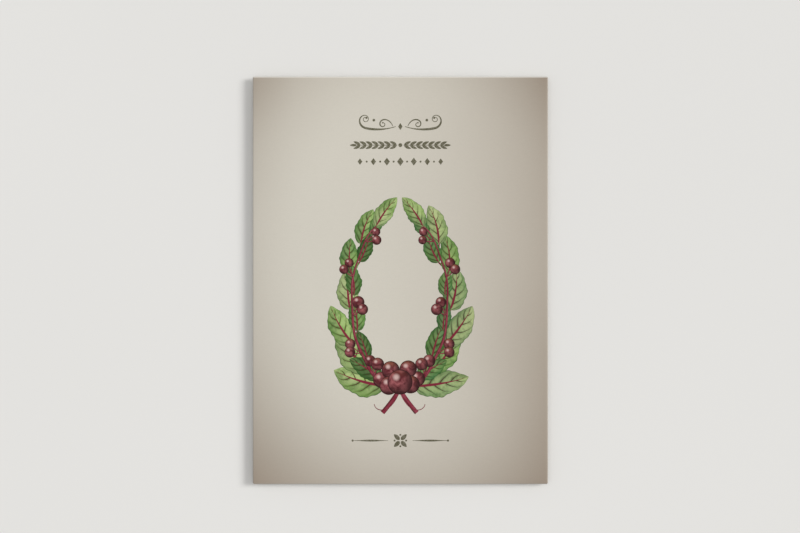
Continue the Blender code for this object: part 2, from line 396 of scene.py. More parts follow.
class PrintLayer:
    """Flat painted shapes, drawn in the plane of the front and laid on it as thin closed films."""

    def __init__(self, name, material):
        self.name = name
        self.material = material
        self.bm = bmesh.new()
        self.uv = self.bm.loops.layers.uv.new("UVMap")
        self.tone = self.bm.verts.layers.float.new("tone")
        self.rise = self.bm.verts.layers.float.new("rise")

    def patch(self, shape, steps, level, tone=0.5):
        """A patch whose unit square goes through shape(u, v) to a point of the front."""
        grid = bmesh.ops.create_grid(
            self.bm, x_segments=steps[0], y_segments=steps[1], size=0.5, calc_uvs=True
        )
        rise = INK_BASE + INK_STEP * level
        for vert in grid["verts"]:
            x, y = shape(vert.co.x + 0.5, vert.co.y + 0.5)
            vert.co = (x, y, front_level(x, y) + PAPER / 2 + rise)
            vert[self.rise] = rise
            vert[self.tone] = tone
        return grid["verts"]

    def disc(self, centre, radius, level, steps=DOT_STEPS, tone=0.5):
        """A round dot, whose UV map is flat across it."""
        def shape(u, v):
            across = 2 * u - 1
            up = 2 * v - 1
            x = across * math.sqrt(1 - up * up / 2)
            y = up * math.sqrt(1 - across * across / 2)
            return centre[0] + radius * x, centre[1] + radius * y

        for vert in self.patch(shape, (steps, steps), level, tone):
            u = 0.5 + (vert.co.x - centre[0]) / (2 * radius)
            v = 0.5 + (vert.co.y - centre[1]) / (2 * radius)
            for loop in vert.link_loops:
                loop[self.uv].uv = (u, v)

    def lozenge(self, centre, half_sizes, level):
        def shape(u, v):
            return centre[0] + (u - v) * half_sizes[0], centre[1] + (u + v - 1) * half_sizes[1]

        self.patch(shape, (2, 2), level)

    def finish(self):
        """Gives the shapes their rims and undersides."""
        made = bmesh.ops.extrude_face_region(self.bm, geom=self.bm.faces[:])
        for item in made["geom"]:
            if isinstance(item, bmesh.types.BMVert):
                item.co.z -= item[self.rise] + INK_SUNK
        bmesh.ops.recalc_face_normals(self.bm, faces=self.bm.faces[:])
        self.put_in_order()
        add_piece(self.name, mesh_from(self.name, self.bm), self.material)

    def put_in_order(self):
        """Puts the faces in the order of their corners, because the rims are made in any order."""
        self.bm.verts.index_update()
        ordered = sorted(self.bm.faces, key=lambda face: sorted(vert.index for vert in face.verts))
        for number, face in enumerate(ordered):
            face.index = number
        self.bm.faces.sort()


def arc_point(start, heading, length, turn, u):
    """(point, heading) at share u of an arc that turns by turn radians over length."""
    angle = heading + turn * u
    if turn == 0:
        reach = length * u
        return (start[0] + reach * math.cos(heading), start[1] + reach * math.sin(heading)), angle
    radius = length / turn
    x = start[0] + radius * (math.sin(angle) - math.sin(heading))
    y = start[1] - radius * (math.cos(angle) - math.cos(heading))
    return (x, y), angle


def beside(point, angle, distance):
    """The point that lies distance to the left of a heading."""
    return point[0] - distance * math.sin(angle), point[1] + distance * math.cos(angle)


# A leaf's outline: the powers that round its base and draw out its tip, the factor that makes its
# widest place 1, and the least it narrows to. Its margin has broad lobes and finer teeth.
LEAF_BASE_POWER = 0.55
LEAF_TIP_POWER = 0.8
LEAF_FULLNESS = 2.49
LEAF_TIP = 0.022
LEAF_LOBES = 2.6
LEAF_TEETH = 7.3
TEETH_SHARE = 0.6
TEETH_SHIFT = 2.3


def leaf_profile(u):
    """Half-width of a leaf with a round base and a drawn-out tip, 1 at its widest."""
    rounded = max(u, 0.0) ** LEAF_BASE_POWER * max(1 - u, 0.0) ** LEAF_TIP_POWER
    return max(LEAF_FULLNESS * rounded, LEAF_TIP)


def draw_leaf(
    layer, start, heading, size, turn, level, tone=0.5, wave=0.0, phase=0.0, steps=SMALL_LEAF_STEPS
):
    """A leaf of a (length, width) along an arc. Its margin waves by a share of its width."""
    length, width = size

    def shape(u, v):
        point, angle = arc_point(start, heading, length, turn, u)
        side = 2 * v - 1
        lobes = math.sin(phase + side + LEAF_LOBES * 2 * math.pi * u)
        teeth = math.sin(TEETH_SHIFT * phase - side + LEAF_TEETH * 2 * math.pi * u)
        margin = 1 + wave * abs(side) * (lobes + TEETH_SHARE * teeth)
        return beside(point, angle, side * width / 2 * leaf_profile(u) * margin)

    layer.patch(shape, steps, level, tone)


def draw_arc_stroke(layer, start, heading, length, turn, widths, level, steps=ARC_STEPS):
    """A stroke along an arc, between its first and last widths."""
    def shape(u, v):
        point, angle = arc_point(start, heading, length, turn, u)
        return beside(point, angle, (v - 0.5) * lerp(*widths, u))

    layer.patch(shape, (steps, 2), level)


def draw_line(layer, points, width_at, level):
    """A stroke through a list of points, whose width follows its share of the length."""
    last = len(points) - 1

    def shape(u, v):
        k = round(u * last)
        return beside(points[k], heading_at(points, k), (v - 0.5) * width_at(u))

    layer.patch(shape, (last, 2), level)


def heading_at(points, k):
    before = points[max(k - 1, 0)]
    after = points[min(k + 1, len(points) - 1)]
    return math.atan2(after[1] - before[1], after[0] - before[0])


def traced(start, heading, length, curvature_at, steps):
    """Points of a line from start that bends as curvature_at(share) says, in radians a metre."""
    points = [start]
    step = length / steps
    for k in range(steps):
        heading += curvature_at((k + 0.5) / steps) * step
        x, y = points[-1]
        points.append((x + step * math.cos(heading), y + step * math.sin(heading)))
    return points


def mirrored(points, sign):
    return [(x * sign, y) for x, y in points]


def swelling(widths, share, power):
    """A width that goes from the first to the second, half way along, and back."""
    return lerp(*widths, math.sin(math.pi * share) ** power)


# The scroll. A stroke on each side runs nearly straight and then bends into a spiral, and a curl
# stands on it. Starts are from the scroll's middle, bends are in radians a metre.
STROKE_START = (1.3 * MM, -0.7 * MM)
STROKE_HEADING = -0.32
STROKE_LENGTH = 18.8 * MM
STROKE_RUN = 0.45
STROKE_RUN_BEND = 62
STROKE_BENDS = (420, 2000)
STROKE_WIDTHS = (0.19 * MM, 0.65 * MM)
STROKE_SWELLS_FOR = 0.8
STROKE_STEPS = 120
STROKE_BALL = 0.30 * MM
CURL_START = (2.1 * MM, -0.6 * MM)
CURL_HEADING = 1.25
CURL_LENGTH = 8.2 * MM
CURL_BENDS = (-300, -2200)
CURL_WIDTHS = (0.15 * MM, 0.37 * MM)
CURL_STEPS = 70
CURL_BALL = 0.22 * MM
SCROLL_DOT_PLACE = (7.4 * MM, 1.1 * MM)
SCROLL_DOT = 0.38 * MM
SCROLL_LOZENGE_Y = -0.7 * MM
SCROLL_LOZENGE = (0.60 * MM, 1.00 * MM)


def build_scroll(ink):
    """A pair of swelling strokes that end in spirals, with small curls between them."""
    layer = PrintLayer("print_scroll", ink)

    def stroke_bend(u):
        if u < STROKE_RUN:
            return STROKE_RUN_BEND
        return lerp(*STROKE_BENDS, ((u - STROKE_RUN) / (1 - STROKE_RUN)) ** 2)

    def stroke_width(u):
        return swelling(STROKE_WIDTHS, min(u / STROKE_SWELLS_FOR, 1.0), 2)

    def curl_bend(u):
        return lerp(*CURL_BENDS, u * u)

    def curl_width(u):
        return swelling(CURL_WIDTHS, u, 1)

    for sign in (-1, 1):
        start = (STROKE_START[0], SCROLL_Y + STROKE_START[1])
        stroke = mirrored(traced(start, STROKE_HEADING, STROKE_LENGTH, stroke_bend, STROKE_STEPS), sign)
        draw_line(layer, stroke, stroke_width, 1)
        layer.disc(stroke[-1], STROKE_BALL, 2)
        start = (CURL_START[0], SCROLL_Y + CURL_START[1])
        curl = mirrored(traced(start, CURL_HEADING, CURL_LENGTH, curl_bend, CURL_STEPS), sign)
        draw_line(layer, curl, curl_width, 2)
        layer.disc(curl[-1], CURL_BALL, 3, SMALL_DOT_STEPS)
        layer.disc((sign * SCROLL_DOT_PLACE[0], SCROLL_Y + SCROLL_DOT_PLACE[1]), SCROLL_DOT, 1)
    layer.lozenge((0, SCROLL_Y + SCROLL_LOZENGE_Y), SCROLL_LOZENGE, 1)
    layer.finish()


# The garland: pairs of leaves along a thin stem on each side of a dot
GARLAND_PAIRS = 7
GARLAND_PITCH = 1.68 * MM
GARLAND_STEM_START = 0.9 * MM
GARLAND_LEAVES_START = 1.1 * MM
GARLAND_STEM_LEFT = 0.4
GARLAND_STEM = (0.22 * MM, 0.14 * MM)
GARLAND_LEAF = (2.15 * MM, 0.78 * MM)
GARLAND_LEAN = 0.72
GARLAND_TURN = 0.5
GARLAND_TIP_LEAF = (1.9 * MM, 0.70 * MM)
GARLAND_DOT = 0.55 * MM


def build_garland(ink):
    """A flat garland of small leaves that run out to both sides of a dot, on levels of their own."""
    layer = PrintLayer("print_garland", ink)
    reach = GARLAND_LEAVES_START + (GARLAND_PAIRS - GARLAND_STEM_LEFT) * GARLAND_PITCH
    for sign in (-1, 1):
        heading = 0 if sign > 0 else math.pi
        stem_start = (sign * GARLAND_STEM_START, GARLAND_Y)
        draw_arc_stroke(layer, stem_start, heading, reach, 0, GARLAND_STEM, 1)
        for k in range(GARLAND_PAIRS):
            start = (sign * (GARLAND_LEAVES_START + k * GARLAND_PITCH), GARLAND_Y)
            for side in (-1, 1):
                angle = heading + sign * side * GARLAND_LEAN
                level = 2 + k % 2 * 2 + (side > 0)
                draw_leaf(layer, start, angle, GARLAND_LEAF, -sign * side * GARLAND_TURN, level)
        draw_leaf(layer, (sign * reach, GARLAND_Y), heading, GARLAND_TIP_LEAF, 0, 6)
    layer.disc((0, GARLAND_Y), GARLAND_DOT, 1)
    layer.finish()


# The row of lozenges: how many on each side of the middle one, and how much each is smaller
LOZENGES_EACH_SIDE = 3
LOZENGE_PITCH = 3.75 * MM
LOZENGE_HALF_WIDTH = 0.90 * MM
LOZENGE_SHRINK = 0.08 * MM
LOZENGE_TALLNESS = 1.35
LOZENGE_DOT = 0.28 * MM


def build_lozenges(ink):
    """A row of lozenges and dots."""
    layer = PrintLayer("print_lozenges", ink)
    for k in range(-LOZENGES_EACH_SIDE, LOZENGES_EACH_SIDE + 1):
        half_width = LOZENGE_HALF_WIDTH - LOZENGE_SHRINK * abs(k)
        layer.lozenge((k * LOZENGE_PITCH, LOZENGES_Y), (half_width, LOZENGE_TALLNESS * half_width), 1)
        if k < LOZENGES_EACH_SIDE:
            layer.disc(((k + 0.5) * LOZENGE_PITCH, LOZENGES_Y), LOZENGE_DOT, 1, SMALL_DOT_STEPS)
    layer.finish()


# The rule at the foot, which runs from the flower to a dot on each side, and the flower
RULE_REACH = (3.4 * MM, 13.0 * MM)
RULE_WIDTHS = (0.12 * MM, 0.54 * MM)
RULE_STEPS = 40
RULE_DOT_X = 13.3 * MM
RULE_DOT = 0.30 * MM
FLOWER_LEAVES = 4
FLOWER_LEAF = (2.2 * MM, 1.15 * MM)
FLOWER_LEAF_START = 0.3 * MM
FLOWER_DOT_REACH = 1.6 * MM
FLOWER_DOT = 0.27 * MM


def build_foot_rule(ink):
    """A swelled rule with a four-leaved flower in its middle."""
    layer = PrintLayer("print_foot_rule", ink)

    def rule_width(u):
        return swelling(RULE_WIDTHS, u, 2)

    def round_flower(angle, distance):
        return distance * math.cos(angle), FOOT_RULE_Y + distance * math.sin(angle)

    for sign in (-1, 1):
        rule = [(sign * lerp(*RULE_REACH, k / RULE_STEPS), FOOT_RULE_Y) for k in range(RULE_STEPS + 1)]
        draw_line(layer, rule, rule_width, 1)
        layer.disc((sign * RULE_DOT_X, FOOT_RULE_Y), RULE_DOT, 2, SMALL_DOT_STEPS)
    for k in range(FLOWER_LEAVES):
        between = 2 * math.pi * k / FLOWER_LEAVES
        angle = between + math.pi / FLOWER_LEAVES
        draw_leaf(layer, round_flower(angle, FLOWER_LEAF_START), angle, FLOWER_LEAF, 0, 1)
        layer.disc(round_flower(between, FLOWER_DOT_REACH), FLOWER_DOT, 1, SMALL_DOT_STEPS)
    layer.finish()


# The wreath's two branches. Each starts below the foot, where they cross, and runs round the oval, on
# which it winds a little. Near the foot the oval is drawn out.
BRANCH_STEPS = 90
BRANCH_START = -1.84
BRANCH_END = 1.06
BRANCH_WIDTHS = (1.30 * MM, 0.36 * MM)
BRANCH_TAPER = 0.7
WINDING = 0.012
WINDINGS = 4.5
FOOT_SHARE = 0.11
FOOT_REACH = 0.34
FOOT_POWER = 1.5

# Leaves stand in pairs from the first share of the branch to the last. Outer and inner leaves are as
# long as the first size at the foot and as the second at the top. Of two values for a tone or a
# chance, any between them is picked. Chance multiplies sizes and waves, and is the lean and the turn.
LEAVES_ON_BRANCH = 6
LEAF_PLACES = (0.15, 0.86)
INNER_LEAF_LATER = 0.055
OUTER_LENGTHS = (15.5 * MM, 10.5 * MM)
INNER_LENGTHS = (10.5 * MM, 7.5 * MM)
LEAF_SLENDERNESS = 0.50
LENGTH_CHANCE = (0.84, 1.10)
WIDTH_CHANCE = (0.92, 1.12)
LEAN_CHANCE = (0.50, 0.72)
TURN_CHANCE = (0.20, 0.60)
OUTER_TONES = (0.45, 1.0)
INNER_TONES = (0.0, 0.30)
LEAF_WAVE = 0.05
WAVE_CHANCE = (0.7, 1.3)
LEAF_STEPS = (44, 10)
TIP_LEAF = (10.0 * MM, 4.8 * MM)
TIP_LEAN = 0.45
TIP_TURN = 0.35
TIP_TONE = 0.80
TIP_PHASE = 1.0
PETIOLE = 1.8 * MM
PETIOLE_UNDER_LEAF = 1.3
PETIOLE_TURN = 0.35
PETIOLE_WIDTHS = (0.50 * MM, 0.40 * MM)
PETIOLE_STEPS = 6

# Levels of the wreath's films, lowest first
PETIOLE_LEVEL = 0
OUTER_LEVEL = 1
INNER_LEVEL = 4
LEAF_LEVELS = 3
STEM_LEVEL = 7
TIP_LEVEL = 8
STALK_LEVEL = 9
BERRY_LEVEL = 10
FOOT_LEVEL = 12

# Berries in pairs: share of the branch, side, radius in millimetres. Each hangs on a stalk with its
# own lean and length in millimetres.
BERRY_PAIRS = ((0.29, 1, 1.70), (0.41, -1, 1.60), (0.58, 1, 1.65), (0.73, -1, 1.40), (0.90, 1, 1.25))
BERRY_STALKS = ((0.70, 4.1), (1.30, 3.3))
BERRY_CHANCE = (0.90, 1.08)
BERRY_STEPS = 10
STALK_TURN = 0.5
STALK_WIDTHS = (0.30 * MM, 0.24 * MM)

# Berries at the foot: place from it and radius, in millimetres
FOOT_BERRIES = (
    (-5.2, 2.2, 2.2), (5.0, 2.5, 2.1), (-2.5, 4.9, 2.5), (2.4, 5.2, 2.4),
    (-3.0, 0.6, 2.6), (3.1, 0.9, 2.5), (0.1, 1.6, 3.5),
)
FOOT_BERRY_STEPS = 14

# Tendrils run down from the foot and coil up after a share of their length
TENDRIL_DROP = 0.5 * MM
TENDRIL_LEAN = 0.25
TENDRIL_LENGTH = 11 * MM
TENDRIL_BEND = 90
TENDRIL_COIL = 900
TENDRIL_COILS_FROM = 0.35
TENDRIL_POWER = 1.2
TENDRIL_WIDTHS = (0.42 * MM, 0.16 * MM)
TENDRIL_STEPS = 60

RANDOM_START = 11


def branch_points(sign):
    """The middle line of a branch, from its cut end below the crossing up to its tip."""
    points = []
    for k in range(BRANCH_STEPS + 1):
        u = k / BRANCH_STEPS
        angle = lerp(BRANCH_START, BRANCH_END, u)
        drawn_out = FOOT_REACH * max(0.0, 1 - u / FOOT_SHARE) ** FOOT_POWER
        spread = 1 + drawn_out + WINDING * math.sin(2 * math.pi * WINDINGS * u)
        x = WREATH_HALF_WIDTH * spread * math.cos(angle)
        y = WREATH_HALF_HEIGHT * spread * math.sin(angle)
        points.append((WREATH_CENTRE[0] + sign * x, WREATH_CENTRE[1] + y))
    return points


def draw_branch(sign, rng, stems, leaves):
    """One branch with its leaves, a pair at each node: a long one outside and a short one inside."""
    points = branch_points(sign)
    for k in range(LEAVES_ON_BRANCH):
        share = k / (LEAVES_ON_BRANCH - 1)
        for outer in (True, False):
            place = lerp(*LEAF_PLACES, share) + (0.0 if outer else INNER_LEAF_LATER)
            index = round(place * BRANCH_STEPS)
            side = -sign if outer else sign
            lengths = OUTER_LENGTHS if outer else INNER_LENGTHS
            length = lerp(*lengths, share) * rng.uniform(*LENGTH_CHANCE)
            angle = heading_at(points, index) + side * rng.uniform(*LEAN_CHANCE)
            petiole_turn = -side * PETIOLE_TURN
            draw_arc_stroke(
                stems, points[index], angle, PETIOLE_UNDER_LEAF * PETIOLE, petiole_turn,
                PETIOLE_WIDTHS, PETIOLE_LEVEL, PETIOLE_STEPS,
            )
            base, angle = arc_point(points[index], angle, PETIOLE, petiole_turn, 1.0)
            size = (length, length * LEAF_SLENDERNESS * rng.uniform(*WIDTH_CHANCE))
            turn = -side * rng.uniform(*TURN_CHANCE)
            level = (OUTER_LEVEL if outer else INNER_LEVEL) + k % LEAF_LEVELS
            tone = rng.uniform(*(OUTER_TONES if outer else INNER_TONES))
            wave = LEAF_WAVE * rng.uniform(*WAVE_CHANCE)
            phase = rng.uniform(0, 2 * math.pi)
            draw_leaf(leaves, base, angle, size, turn, level, tone, wave, phase, LEAF_STEPS)
    draw_line(stems, points, lambda u: lerp(*BRANCH_WIDTHS, u ** BRANCH_TAPER), STEM_LEVEL)
    draw_leaf(
        leaves, points[-1], heading_at(points, BRANCH_STEPS) - sign * TIP_LEAN, TIP_LEAF,
        sign * TIP_TURN, TIP_LEVEL, TIP_TONE, LEAF_WAVE, TIP_PHASE, LEAF_STEPS,
    )


def draw_berries(sign, rng, stems, berries):
    """Pairs of stalked berries on both sides of a branch."""
    points = branch_points(sign)
    for place, side, radius in BERRY_PAIRS:
        index = round(place * BRANCH_STEPS)
        turn = -side * sign * STALK_TURN
        for number, (lean, length) in enumerate(BERRY_STALKS):
            angle = heading_at(points, index) + side * sign * lean
            draw_arc_stroke(
                stems, points[index], angle, length * MM, turn, STALK_WIDTHS, STALK_LEVEL
            )
            end, _ = arc_point(points[index], angle, length * MM, turn, 1.0)
            size = radius * rng.uniform(*BERRY_CHANCE) * MM
            berries.disc(end, size, BERRY_LEVEL + number, BERRY_STEPS, rng.random())


def draw_tendril(sign, foot, stems):
    """A thin tendril on one side of the foot."""
    def bend_at(u):
        return TENDRIL_BEND + TENDRIL_COIL * max(0.0, u - TENDRIL_COILS_FROM) ** TENDRIL_POWER

    start = (0, foot[1] - TENDRIL_DROP)
    heading = TENDRIL_LEAN - math.pi / 2
    tendril = traced(start, heading, TENDRIL_LENGTH, bend_at, TENDRIL_STEPS)
    placed = [(foot[0] + x, y) for x, y in mirrored(tendril, sign)]
    draw_line(stems, placed, lambda u: lerp(*TENDRIL_WIDTHS, u), STALK_LEVEL)


def build_wreath(stem_paint, leaf_paint, berry_paint):
    """Two leafy branches that cross at the foot and nearly meet at the top, with berries."""
    rng = random.Random(RANDOM_START)
    stems = PrintLayer("print_stems", stem_paint)
    leaves = PrintLayer("print_leaves", leaf_paint)
    berries = PrintLayer("print_berries", berry_paint)
    foot = (WREATH_CENTRE[0], WREATH_CENTRE[1] - WREATH_HALF_HEIGHT)
    for sign in (-1, 1):
        draw_branch(sign, rng, stems, leaves)
        draw_berries(sign, rng, stems, berries)
        draw_tendril(sign, foot, stems)
    for number, (x, y, radius) in enumerate(FOOT_BERRIES):
        centre = (foot[0] + x * MM, foot[1] + y * MM)
        berries.disc(centre, radius * MM, FOOT_LEVEL + number, FOOT_BERRY_STEPS, rng.random())
    stems.finish()
    leaves.finish()
    berries.finish()


class Nodes:
    """Short names for the shader nodes that the materials are made of."""

    def __init__(self, name):
        self.material = bpy.data.materials.new(name)
        self.material.use_nodes = True
        self.tree = self.material.node_tree
        self.shader = self.tree.nodes["Principled BSDF"]

    def put(self, socket, value):
        if isinstance(value, bpy.types.NodeSocket):
            self.tree.links.new(value, socket)
        elif isinstance(value, tuple) and len(value) == 3 and socket.type == "RGBA":
            socket.default_value = (*value, 1.0)
        else:
            socket.default_value = value

    def node(self, kind, **inputs):
        """A new node of a kind, with its inputs set by name."""
        made = self.tree.nodes.new("ShaderNode" + kind)
        for name, value in inputs.items():
            self.put(made.inputs[name], value)
        return made

    def math(self, operation, *values, clamp=False):
        made = self.node("Math")
        made.operation = operation
        made.use_clamp = clamp
        for socket, value in zip(made.inputs, values):
            self.put(socket, value)
        return made.outputs[0]

    def plus(self, first, second):
        return self.math("ADD", first, second)

    def minus(self, first, second):
        return self.math("SUBTRACT", first, second)

    def times(self, first, second):
        return self.math("MULTIPLY", first, second)

    def ramp(self, value, low, high, first=0.0, last=1.0):
        """A smooth step of value from first at low to last at high."""
        made = self.node("MapRange", Value=value)
        made.interpolation_type = "SMOOTHSTEP"
        for name, wanted in (("From Min", low), ("From Max", high), ("To Min", first), ("To Max", last)):
            self.put(made.inputs[name], wanted)
        return made.outputs["Result"]

    def mix(self, share, first, second, blend="MIX"):
        """A mix of two colours, which are inputs 6 and 7 and output 2 of this node."""
        made = self.node("Mix")
        made.data_type = "RGBA"
        made.blend_type = blend
        self.put(made.inputs[0], share)
        self.put(made.inputs[6], first)
        self.put(made.inputs[7], second)
        return made.outputs[2]

    def noise(self, scale, detail, roughness=0.5, distortion=0.0, stretch=None, coordinates=None):
        """Noise of about 1 / scale metres, or of 1 / scale of other coordinates, from 0 to 1."""
        if coordinates is None:
            coordinates = self.node("TexCoord").outputs["Object"]
        if stretch:
            coordinates = self.node("Mapping", Vector=coordinates, Scale=stretch).outputs["Vector"]
        made = self.node("TexNoise", Vector=coordinates, Scale=scale, Detail=detail)
        self.put(made.inputs["Roughness"], roughness)
        self.put(made.inputs["Distortion"], distortion)
        return made.outputs["Fac"]

    def spots(self, noise, step):
        """A smooth step of a noise."""
        return self.ramp(self.noise(*noise), *step)

    def streaks(self, along, across):
        """Streaks that follow a stroke, so many to its length and to its width, from 0 to 1."""
        uv_map = self.node("UVMap").outputs["UV"]
        return self.noise(1.0, 2.0, stretch=(along, across, 1.0), coordinates=uv_map)

    def place(self):
        """(x, y, level): x and y are 0 in the packet's middle and 1 at its edge, level is in metres."""
        split = self.node("SeparateXYZ", Vector=self.node("TexCoord").outputs["Object"])
        x = self.math("DIVIDE", split.outputs["X"], SHEET_HIGH.x)
        y = self.math("DIVIDE", split.outputs["Y"], SHEET_HIGH.y)
        return x, y, split.outputs["Z"]

    def distance(self, x, y, centre, stretch=1.0):
        """How far (x, y) is from a centre, with the second way stretched."""
        across = self.minus(x, centre[0])
        along = self.times(self.minus(y, centre[1]), stretch)
        return self.math("SQRT", self.plus(self.times(across, across), self.times(along, along)))

    def uv(self):
        split = self.node("SeparateXYZ", Vector=self.node("UVMap").outputs["UV"])
        return split.outputs["X"], split.outputs["Y"]

    def attribute(self, name):
        made = self.node("Attribute")
        made.attribute_name = name
        return made.outputs["Fac"]

    def colours(self, value, *stops):
        """A colour ramp with its stops spread evenly."""
        made = self.node("ValToRGB", Fac=value)
        elements = made.color_ramp.elements
        while len(elements) < len(stops):
            elements.new(0.5)
        for k, colour in enumerate(stops):
            elements[k].position = k / (len(stops) - 1)
            elements[k].color = (*colour, 1.0)
        return made.outputs["Color"]

    def finish(self, colour, roughness, gloss=None, relief=None):
        """Gives the material its colour, roughness, gloss and relief, (height, depth, strength)."""
        self.put(self.shader.inputs["Base Color"], colour)
        self.put(self.shader.inputs["Roughness"], roughness)
        if gloss is not None:
            self.put(self.shader.inputs["Specular IOR Level"], gloss)
        if relief:
            height, depth, strength = relief
            bump = self.node("Bump", Height=height, Distance=depth, Strength=strength)
            self.put(self.shader.inputs["Normal"], bump.outputs["Normal"])
        return self.material


def painted_shade_and_tone(nodes):
    """0 where the paper is clear, up to 1 where the painted shade is deepest: light falling off to the
    right and towards the edges and corners, with a faint random cloud of tone.
    """
    x, y, level = nodes.place()
    # The oval darkening towards the edges and corners, the fall to the right and the patches are painted
    # shade
    off_centre = nodes.distance(x, y, PAINTED_SHADE_CENTRE, PAINTED_SHADE_STRETCH)
    clear = nodes.ramp(off_centre, PAINTED_SHADE_START, PAINTED_SHADE_END, 1.0, 1.0 - PAINTED_SHADE_DEPTH)
    right = nodes.times(nodes.plus(x, 1.0), 0.5)
    cubed = nodes.times(nodes.times(y, y), y)
    corners = nodes.times(nodes.math("POWER", right, PAINTED_SHADE_CORNER_POWER), cubed)
    fallen = nodes.times(nodes.math("POWER", right, PAINTED_SHADE_POWER), PAINTED_SHADE_FALL)
    fallen = nodes.plus(fallen, nodes.times(corners, PAINTED_SHADE_CORNERS))
    clear = nodes.times(clear, nodes.minus(1.0, fallen))
    for centre, reach, depth in PAINTED_SHADE_PATCHES:
        patch = nodes.ramp(nodes.distance(x, y, centre), 0.0, reach, 1.0 - depth, 1.0)
        clear = nodes.times(clear, patch)
    cloud = nodes.times(nodes.minus(nodes.noise(*TONING_CLOUD_NOISE), 0.5), TONING_CLOUD)
    behind, front = EDGE_LEVEL - 2 * FOLD_RISE, EDGE_LEVEL - FOLD_RISE / 2
    darkness = nodes.times(nodes.minus(1.0, clear), nodes.ramp(level, behind, front, PAINTED_SHADE_BEHIND))
    return nodes.math("DIVIDE", nodes.plus(darkness, cloud), SHADE_AND_TONE_LIMIT, clamp=True)


def under_painted_shade(nodes, colour):
    """A paint or the bare paper as it shows under the painted shade, which falls off to the right and
    towards the edges.
    """
    left = nodes.mix(painted_shade_and_tone(nodes), (1.0, 1.0, 1.0), PAINTED_SHADE_SHARES)
    return nodes.mix(1.0, colour, left, "MULTIPLY")


def paper_fibres(nodes):
    """Short fibres and fine grain, 0 to 1."""
    grain = nodes.noise(*GRAIN_NOISE)
    fibres = nodes.noise(*FIBRE_NOISE, FIBRE_STRETCH)
    return nodes.mix(0.5, grain, fibres)


def finish_on_paper(nodes, colour):
    """Gives a colour the paper's fibres, grain and matt finish."""
    fibres = paper_fibres(nodes)
    fibre_tone = nodes.ramp(fibres, *FIBRE_STEP)
    grey = nodes.node("CombineXYZ", X=fibre_tone, Y=fibre_tone, Z=fibre_tone).outputs[0]
    shaded = nodes.mix(1.0, colour, grey, "MULTIPLY")
    return nodes.finish(shaded, PAPER_ROUGHNESS, PAPER_GLOSS, (fibres, FIBRE_DEPTH, FIBRE_RELIEF))


def make_paper():
    """Cream paper under painted shade, with a painted highlight along its folds, most at the top."""
    nodes = Nodes("cream_paper")
    x, y, _ = nodes.place()
    # A painted highlight along the side folds and the end folds, strongest at the top
    highlight_side = nodes.ramp(nodes.math("ABSOLUTE", x), *SIDE_HIGHLIGHT, 0.0, SIDE_HIGHLIGHT_SHARE)
    off_middle = nodes.math("ABSOLUTE", y)
    rise = nodes.ramp(off_middle, *END_HIGHLIGHT_RISES)
    fall = nodes.ramp(off_middle, *END_HIGHLIGHT_FALLS, 1.0, END_HIGHLIGHT_LEFT)
    along = nodes.ramp(y, -1.0, 1.0, *END_HIGHLIGHT_SHARES)
    highlight_end = nodes.times(nodes.times(rise, fall), along)
    fold_highlight = nodes.math("MAXIMUM", highlight_side, highlight_end)
    colour = nodes.mix(fold_highlight, under_painted_shade(nodes, PAPER_LIGHT), PAPER_FOLD_HIGHLIGHT)
    return finish_on_paper(nodes, colour)


# The ink and the stems. Spots are a noise and its step. Streaks are so many to a stem's length and
# width, and the gleam and the dark edges are placed by the share of its width.
INK_SPOTS = ((2600.0, 3.0), (0.35, 0.75, 0.0, 0.22))
STEM_WASH = ((420.0, 3.0), (0.3, 0.7))
STEM_STREAKS = (9.0, 6.0)
STEM_PALE_STREAKS = (0.52, 0.70, 0.0, 0.45)
STEM_DARK_STREAKS = (0.32, 0.48, 0.70, 0.0)
STEM_GLEAM = 0.40
STEM_EDGES = (0.16, 0.50, 0.0, 0.85)


def make_ink():
    """Olive printing ink, which lets the paper through in small spots."""
    nodes = Nodes("olive_ink")
    colour = nodes.mix(nodes.spots(*INK_SPOTS), INK_OLIVE, PAPER_LIGHT)
    return finish_on_paper(nodes, under_painted_shade(nodes, colour))


def make_stem_paint():
    """Crimson stalks, paler along one side and darker along their edges."""
    nodes = Nodes("stem_paint")
    _, v = nodes.uv()
    off_gleam = nodes.math("ABSOLUTE", nodes.minus(v, STEM_GLEAM))
    colour = nodes.mix(nodes.spots(*STEM_WASH), CRIMSON, CRIMSON_PALE)
    streaks = nodes.streaks(*STEM_STREAKS)
    colour = nodes.mix(nodes.ramp(streaks, *STEM_PALE_STREAKS), colour, STEM_BLUSH)
    colour = nodes.mix(nodes.ramp(streaks, *STEM_DARK_STREAKS), colour, CRIMSON_DARK)
    colour = nodes.mix(nodes.ramp(off_gleam, *STEM_EDGES), colour, CRIMSON_DARK)
    return finish_on_paper(nodes, under_painted_shade(nodes, colour))


# Side veins of a leaf: how many on each half, how they lean and bend, and how unevenly. One half's
# are staggered. A vein thins out towards the margin, has a core of full depth, and ends short of
# the margin and of the tip. The last step finds the space between veins.
VEIN_COUNT = 4.8
VEIN_SLANT = 0.16
VEIN_CURVE = 0.16
VEIN_SHAKE = 0.05
VEIN_SHAKE_NOISE = (260.0, 2.0)
VEIN_STAGGER = (-0.02, 0.02, 0.0, 0.5 / VEIN_COUNT)
VEIN_WIDTH = (0.0, 1.0, 0.10, 0.04)
VEIN_CORE = 0.35
VEIN_MARGIN = (0.60, 0.97, 0.95, 0.0)
VEIN_TIP = (0.84, 0.95, 1.0, 0.0)
VEIN_SPACE = (0.06, 0.30)

